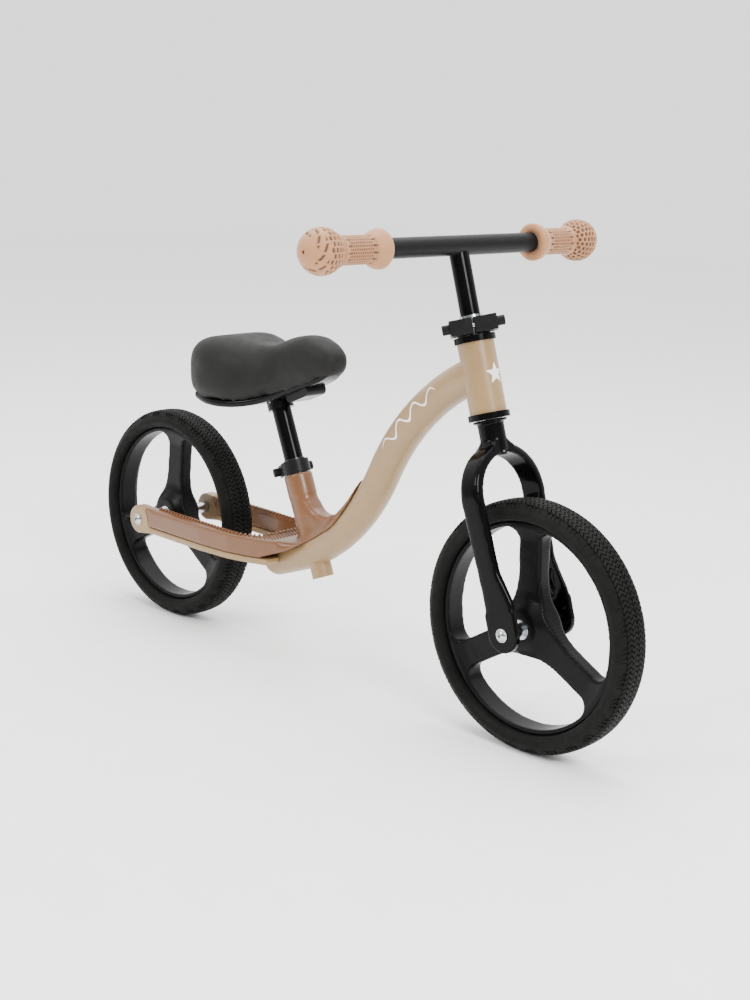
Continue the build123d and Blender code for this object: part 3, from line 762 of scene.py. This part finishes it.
# ------------------------------------------------------------------ grips
def grip_tree():
    """Sinks staggered rows of slots between two distances along the bar, and keeps their mask for the painted
    shade in the slots.
    """
    sizes = ("Pitch", "Rows", "Depth", "Low", "High", "Width", "Turn")
    tree, given = new_tree("sunk_slots", (
        *((size, "NodeSocketFloat", 1.0) for size in sizes), ("Finish", "NodeSocketMaterial", None)))
    position = node(tree, "GeometryNodeInputPosition").outputs[0]
    outer = node(tree, "ShaderNodeVectorMath", {0: position, 1: (1, 0, 1)}, operation="MULTIPLY").outputs[0]
    radius = node(tree, "ShaderNodeVectorMath", {0: outer}, operation="LENGTH").outputs["Value"]
    x, y, z = node(tree, "ShaderNodeSeparateXYZ", {0: position}).outputs
    bore = 12.8 * MM
    known = {"x": x, "y": y, "z": z, "radius": radius, **{size: given[size] for size in sizes}}
    # each line is a result, its operation and what it works on: earlier results, inputs or numbers
    for name, operation, *parts in (
        ("angle", "ARCTAN2", "z", "x"),
        ("turned", "DIVIDE", "angle", 2 * math.pi),
        ("rows", "MULTIPLY", "turned", "Rows"),
        ("row", "ADD", "rows", 100),
        ("number", "FLOOR", "row"),
        ("odd", "MODULO", "number", 2),
        ("stagger", "MULTIPLY", "odd", 0.5),
        ("in row", "FRACT", "row"),
        ("off row", "SUBTRACT", "in row", 0.5),
        ("reach", "ABSOLUTE", "off row"),
        ("along", "ABSOLUTE", "y"),
        ("pitches", "DIVIDE", "along", "Pitch"),
        ("staggered", "ADD", "pitches", "stagger"),
        ("slant", "MULTIPLY", "in row", "Turn"),
        ("step", "ADD", "staggered", "slant"),
        ("in step", "FRACT", "step"),
        ("off step", "SUBTRACT", "in step", 0.5),
        ("across", "ABSOLUTE", "off step"),
        ("narrow", "MULTIPLY", "Width", 0.45),
        ("above", "GREATER_THAN", "along", "Low"),
        ("under", "LESS_THAN", "along", "High"),
        ("skin", "GREATER_THAN", "radius", bore),
        ("between", "MULTIPLY", "above", "under"),
        ("band", "MULTIPLY", "between", "skin"),
        ("inward", "MULTIPLY", "Depth", -1),
    ):
        inputs = {k: known.get(part, part) for k, part in enumerate(parts)}
        known[name] = node(tree, "ShaderNodeMath", inputs, operation=operation).outputs[0]
    mask = known["band"]
    for value, outside, inside in ((known["across"], given["Width"], known["narrow"]),
                                   (known["reach"], 0.42, 0.3)):
        edge = node(tree, "ShaderNodeMapRange", {"Value": value, "From Min": outside, "From Max": inside},
                    interpolation_type="SMOOTHSTEP").outputs[0]
        mask = node(tree, "ShaderNodeMath", {0: mask, 1: edge}, operation="MULTIPLY").outputs[0]
    sink = node(tree, "ShaderNodeMath", {0: mask, 1: known["inward"]}, operation="MULTIPLY").outputs[0]
    normal = node(tree, "GeometryNodeInputNormal").outputs[0]
    push = node(tree, "ShaderNodeVectorMath", {0: normal, "Scale": sink}, operation="SCALE").outputs[0]
    # the slot mask is kept as the 'sunk' attribute, which the rubber's finish uses to paint shade into the
    # slots
    old = node(tree, "GeometryNodeInputNamedAttribute", {"Name": "sunk"},
               data_type="FLOAT").outputs["Attribute"]
    deepest = node(tree, "ShaderNodeMath", {0: mask, 1: old}, operation="MAXIMUM").outputs[0]
    stored = node(tree, "GeometryNodeStoreNamedAttribute", {"Geometry": given["Geometry"], "Name": "sunk",
                  "Value": deepest}, data_type="FLOAT", domain="POINT")
    moved = node(tree, "GeometryNodeSetPosition", {"Geometry": stored.outputs[0], "Offset": push})
    real = node(tree, "GeometryNodeRealizeInstances", {"Geometry": moved.outputs[0]})
    coated = node(tree, "GeometryNodeSetMaterial", {"Geometry": real.outputs[0], "Material": given["Finish"]})
    node(tree, "NodeGroupOutput", {"Geometry": coated.outputs[0]})
    return tree


def grip_profile():
    """Closed (radius, y) outline of a grip in mm, finely divided: flange, waist and ball end."""
    outer = [(17.5, 121.2), (20.2, 121.8), (21.4, 124.2), (21.2, 127.5), (20.2, 131), (18.4, 134.6),
             (16.6, 138.2), (15.5, 142), (15.2, 146)]
    outer += [(15.2, 146 + 0.5 * k) for k in range(1, 64)]
    outer += [(15.4, 180), (16.0, 182.6), (17.2, 184.8)]
    for degrees in range(-55, 87, 2):
        a = math.radians(degrees)
        outer.append((24.4 * math.cos(a), 206 + 24.4 * math.sin(a)))
    outer += [(2.1, 230.3), (2.0, 224), (11.15, 218.2), (11.15, 121.2)]
    return outer


class BIKE_OT_grips(bpy.types.Operator):
    """Soft grips with an inner flange, slotted waist and perforated ball end."""
    bl_idname = "bike.grips"
    bl_label = "Grips"

    def execute(self, context):
        g = settings().grips
        tree = grip_tree()
        rubber = finish("soft_grip_rubber")
        for side, name in ((1, "left"), (-1, "right")):
            verts, faces = lathe([(r, y * side) for r, y in grip_profile()], 260)
            grip = new_piece(name + "_soft_grip", verts, faces, rubber)
            for pitch, rows, depth, low, high, width, turn in (
                (g.slot_pitch, g.slot_rows, g.slot_depth, 141.5, 182.5, 0.4, 0.0),
                (5.2 * MM, 24, 1.6 * MM, 187.0, 211.5, 0.38, 0.0),
                (8.0 * MM, 12, 1.4 * MM, 214.5, 224.5, 0.2, 0.6),
            ):
                run_tree(grip, tree, {"Pitch": pitch, "Rows": float(rows), "Depth": depth, "Low": low * MM,
                                      "High": high * MM, "Width": width, "Turn": turn, "Finish": rubber})
            grip.data.transform(Matrix.Translation((BAR_CENTRE.x, 0, BAR_CENTRE.z)))
            shade_smooth(grip)
            place(grip, "handlebar", "grip_rubber", name + "_grip")
        return {"FINISHED"}


# ------------------------------------------------------------------ saddle
class BIKE_OT_saddle(bpy.types.Operator):
    """Moulded foam saddle, swelled by a cloth simulation over its shell."""
    bl_idname = "bike.saddle"
    bl_label = "Saddle"

    def execute(self, context):
        s = settings().saddle
        pad = merged_copy("saddle_cushion", "saddle_pad")
        low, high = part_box("saddle_pad")
        middle = (low + high) / 2
        shrink = Matrix.Translation(middle) @ Matrix.Scale(0.975, 4) @ Matrix.Translation(-middle)
        pad.data.transform(shrink)
        skin = pad.modifiers.new("skin", "REMESH")
        skin.mode = "VOXEL"
        skin.voxel_size = 5 * MM
        even = pad.modifiers.new("even", "SMOOTH")
        even.iterations = 6
        plain_mesh(pad)
        self.swell(context, pad, s)
        even = pad.modifiers.new("even", "SMOOTH")
        even.iterations = 4
        finer = pad.modifiers.new("finer", "SUBSURF")
        finer.levels = finer.render_levels = 1
        plain_mesh(pad)
        shade_smooth(pad)
        dress(pad, finish("polyurethane_skin"))
        place(pad, "seat", "saddle_skin", "saddle_pad")
        return {"FINISHED"}

    def swell(self, context, pad, s):
        rest = [v.co.copy() for v in pad.data.vertices]
        cloth = pad.modifiers.new("foam", "CLOTH")
        cloth.settings.use_pressure = True
        cloth.settings.uniform_pressure_force = s.pressure
        cloth.settings.effector_weights.gravity = 0
        for number in range(1, 21):
            context.scene.frame_set(number)
        plain_mesh(pad)
        context.scene.frame_set(1)
        for v, start in zip(pad.data.vertices, rest):
            moved = v.co - start
            if moved.length > s.cap:
                v.co = start + moved.normalized() * s.cap


# ------------------------------------------------------------------ tubes, hardware and prints
CAD_FINISHES = {
    "sand_powder_coat": ("head_tube", "main_tube"),
    "seat_sleeve_coat": ("seat_sleeve",),
    "black_gloss_enamel": ("seat_post", "stem_tube", "lower_headset_cup", "upper_headset_cup"),
    "satin_black_coat": ("handlebar",),
    "moulded_black_nylon": ("stem_clamp_collar", "stem_clamp_nut", "stem_clamp_knob", "seat_clamp_collar",
                            "seat_clamp_nut", "seat_clamp_knob", "bar_end_plugs", "seat_post_plug"),
    "gloss_black_shell": ("saddle_base",),
    "ground_bearing_steel": ("lower_headset_bearing", "upper_headset_bearing", "rear_wheel_bearings",
                             "front_wheel_bearings"),
    "bright_zinc_plate": ("seat_clamp_bolt", "stem_clamp_bolt", "rear_axle", "rear_axle_spacers",
                          "rear_axle_washers", "rear_axle_bolts", "front_axle", "front_axle_spacers",
                          "front_axle_washers", "front_axle_bolts", "steerer_tube", "saddle_cross_bolt"),
}


class BIKE_OT_tubes(bpy.types.Operator):
    """Finishes of the tubes, clamps, bearings and bolts."""
    bl_idname = "bike.tubes"
    bl_label = "Tubes and hardware"

    def execute(self, context):
        for name, nodes in CAD_FINISHES.items():
            for cad in nodes:
                dress(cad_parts[cad], finish(name))
        return {"FINISHED"}


class BIKE_OT_prints(bpy.types.Operator):
    """Plain printed trim: a wave along the main tube and a star on the head tube."""
    bl_idname = "bike.prints"
    bl_label = "Printed trim"

    def execute(self, context):
        ink = finish("white_pad_print")
        head = STEERING_FOOT + STEERING_AXIS * 283
        bend = head + Vector((-102.7, 0, -58.3))
        down = (Vector((REAR + 350.3, 0, 174.3)) - bend).normalized()
        back = (bend - head).normalized()
        turn = math.acos(back.dot(down))
        radius, skin, steps = 290, 20.12, 96
        first = bend - back * radius * math.tan(turn / 2)
        inward = (down - back * back.dot(down)).normalized()
        centre = first + inward * radius
        for side in (1, -1):
            verts = []
            for i in range(steps + 1):
                t = i / steps
                swing = turn * (0.16 + 0.62 * t)
                outward = (first - centre).normalized() * math.cos(swing) + back * math.sin(swing)
                middle = centre + outward * radius
                wave = 0.30 * math.sin(t * math.pi * 7) + 0.12
                half = 0.078 * math.sin(math.pi * t) ** 0.35 if 0 < t < 1 else 0.002
                for edge in (-1, 1):
                    a = wave + edge * half
                    point = middle + (outward * math.sin(a) + Vector((0, side, 0)) * math.cos(a)) * skin
                    verts.append(tuple(point * MM))
            faces = [(2 * i, 2 * i + 1, 2 * i + 3, 2 * i + 2) for i in range(steps)]
            wave = new_piece(("left" if side > 0 else "right") + "_tube_wave", verts, faces, ink)
            self.outward(wave, side)
            place(wave, "frame", "frame_enamel")
        self.star(ink)
        return {"FINISHED"}

    def outward(self, obj, side):
        """Turn a print's faces to the outside of the tube."""
        mesh = obj.data
        if sum(f.normal.y for f in mesh.polygons) * side < 0:
            mesh.flip_normals()

    def star(self, ink):
        """Five-pointed star wrapped round the front of the head tube."""
        flat = bmesh.new()
        made = [flat.verts.new((0, 0, 0))]
        for k in range(10):
            reach = 12.5 if k % 2 == 0 else 5.5
            a = math.pi / 2 + k * math.pi / 5
            made.append(flat.verts.new((reach * math.cos(a), reach * math.sin(a), 0)))
        for k in range(10):
            flat.faces.new((made[0], made[1 + k], made[1 + (k + 1) % 10]))
        bmesh.ops.subdivide_edges(flat, edges=flat.edges, cuts=5, use_grid_fill=True)
        bmesh.ops.triangulate(flat, faces=flat.faces)
        front = Vector((math.cos(STEERING_TILT), 0, math.sin(STEERING_TILT)))
        radius, middle = 20.62, STEERING_FOOT + STEERING_AXIS * 277
        for v in flat.verts:
            a = v.co.x / radius
            round_tube = front * math.cos(a) + Vector((0, math.sin(a), 0))
            v.co = (middle + STEERING_AXIS * v.co.y + round_tube * radius) * MM
        star = from_bmesh("head_star", flat)
        if sum(f.normal.x for f in star.data.polygons) < 0:
            star.data.flip_normals()
        dress(star, ink)
        place(star, "frame", "frame_enamel")


# ------------------------------------------------------------------ stage
class BIKE_OT_stage(bpy.types.Operator):
    """Pale floor, soft studio lights and the camera."""
    bl_idname = "bike.stage"
    bl_label = "Stage"

    def execute(self, context):
        scene = context.scene
        corners = [(x * 6, y * 6, 0) for x, y in ((-1, -1), (1, -1), (1, 1), (-1, 1))]
        floor = new_piece("studio_floor", corners, [(0, 1, 2, 3)], self.paper())
        world = bpy.data.worlds.new("studio")
        scene.world = world
        self.room(world)
        for name, at, size, power in (
            ("key_softbox", (2.1, -0.5, 1.7), 0.8, 60),
            ("left_softbox", (-0.5, -2.3, 1.9), 0.8, 42),
            ("top_softbox", (-0.3, 0.4, 2.6), 2.2, 75),
        ):
            lamp = bpy.data.lights.new(name, "AREA")
            lamp.size = size
            lamp.energy = power
            obj = bpy.data.objects.new(name, lamp)
            obj.location = at
            obj.rotation_euler = (Vector((0, 0, 0.25)) - Vector(at)).to_track_quat("-Z", "Y").to_euler()
            scene.collection.objects.link(obj)
        self.camera(scene)
        return {"FINISHED"}

    def room(self, world):
        """A white sweep behind the bike that falls off to a dim room behind the camera."""
        world.use_nodes = True
        tree = world.node_tree
        tree.nodes.clear()
        towards = node(tree, "ShaderNodeTexCoord").outputs["Generated"]
        away = (-0.703, 0.711, 0)
        facing = node(tree, "ShaderNodeVectorMath", {0: towards, 1: away}, operation="DOT_PRODUCT")
        sweep = node(tree, "ShaderNodeMapRange", {
            "Value": facing.outputs["Value"], "From Min": -0.5, "From Max": 0.6,
            "To Min": 0.35, "To Max": 1.75}, interpolation_type="SMOOTHSTEP")
        height = node(tree, "ShaderNodeSeparateXYZ", {"Vector": towards}).outputs["Z"]
        ceiling = node(tree, "ShaderNodeMapRange", {
            "Value": height, "From Min": 0.15, "From Max": 0.9, "To Max": 1.2})
        both = node(tree, "ShaderNodeMath", {0: sweep.outputs[0], 1: ceiling.outputs[0]}, operation="ADD")
        light = node(tree, "ShaderNodeBackground", {"Color": (1, 1, 1, 1), "Strength": both.outputs[0]})
        node(tree, "ShaderNodeOutputWorld", {"Surface": light.outputs[0]})

    def paper(self):
        """Seamless white background paper, matte, with a barely visible fibre."""
        material, tree, where, shader = start_finish("matte_background_paper", 0.9)
        mottled(tree, where, shader, linear("#F7F7F6"), 60, 0.985, 1.01)
        return material

    def camera(self, scene):
        azimuth, elevation, roll = math.radians(44.706), math.radians(13.826), math.radians(2.051)
        back = Vector((math.sin(azimuth) * math.cos(elevation), -math.cos(azimuth) * math.cos(elevation),
                       math.sin(elevation)))
        right = Vector((math.cos(azimuth), math.sin(azimuth), 0))
        up = back.cross(right)
        right, up = (right * math.cos(roll) + up * math.sin(roll),
                     up * math.cos(roll) - right * math.sin(roll))
        data = bpy.data.cameras.new("camera")
        data.sensor_fit = "VERTICAL"
        data.sensor_height = 36
        data.sensor_width = 27
        data.lens = 55.12
        data.clip_end = 50
        camera = bpy.data.objects.new("camera", data)
        turn = Matrix((right, up, back)).transposed().to_4x4()
        camera.matrix_world = Matrix.Translation(Vector((1311.66, -1258.29, 670.37)) * MM) @ turn
        scene.collection.objects.link(camera)
        scene.camera = camera


class BIKE_PT_sidebar(bpy.types.Panel):
    """Lists the bike's pieces and their settings."""
    bl_idname = "BIKE_PT_sidebar"
    bl_label = "Balance Bike"
    bl_space_type = "VIEW_3D"
    bl_region_type = "UI"
    bl_category = "Balance Bike"

    def draw(self, context):
        for operator in OPERATORS:
            self.layout.operator(operator.bl_idname)
        for group in ("colours", "tread", "grips", "fork", "deck", "saddle"):
            box = self.layout.box()
            box.label(text=group.capitalize())
            values = getattr(settings(), group)
            for name in values.__annotations__:
                box.prop(values, name)


OPERATORS = (BIKE_OT_tubes, BIKE_OT_fork, BIKE_OT_wheels, BIKE_OT_tyres, BIKE_OT_deck, BIKE_OT_grips,
             BIKE_OT_saddle, BIKE_OT_prints, BIKE_OT_stage)
GROUPS = (BikeColours, BikeTread, BikeGrips, BikeFork, BikeDeck, BikeSaddle, BikeSettings)


def register():
    for cls in (*GROUPS, *OPERATORS, BIKE_PT_sidebar):
        bpy.utils.register_class(cls)
    bpy.types.Scene.balance_bike = PointerProperty(type=BikeSettings)


def unregister():
    del bpy.types.Scene.balance_bike
    for cls in reversed((*GROUPS, *OPERATORS, BIKE_PT_sidebar)):
        bpy.utils.unregister_class(cls)


def main():
    register()
    for operator in OPERATORS:
        group, name = operator.bl_idname.split(".")
        getattr(getattr(bpy.ops, group), name)()


if __name__ == "__main__":
    main()
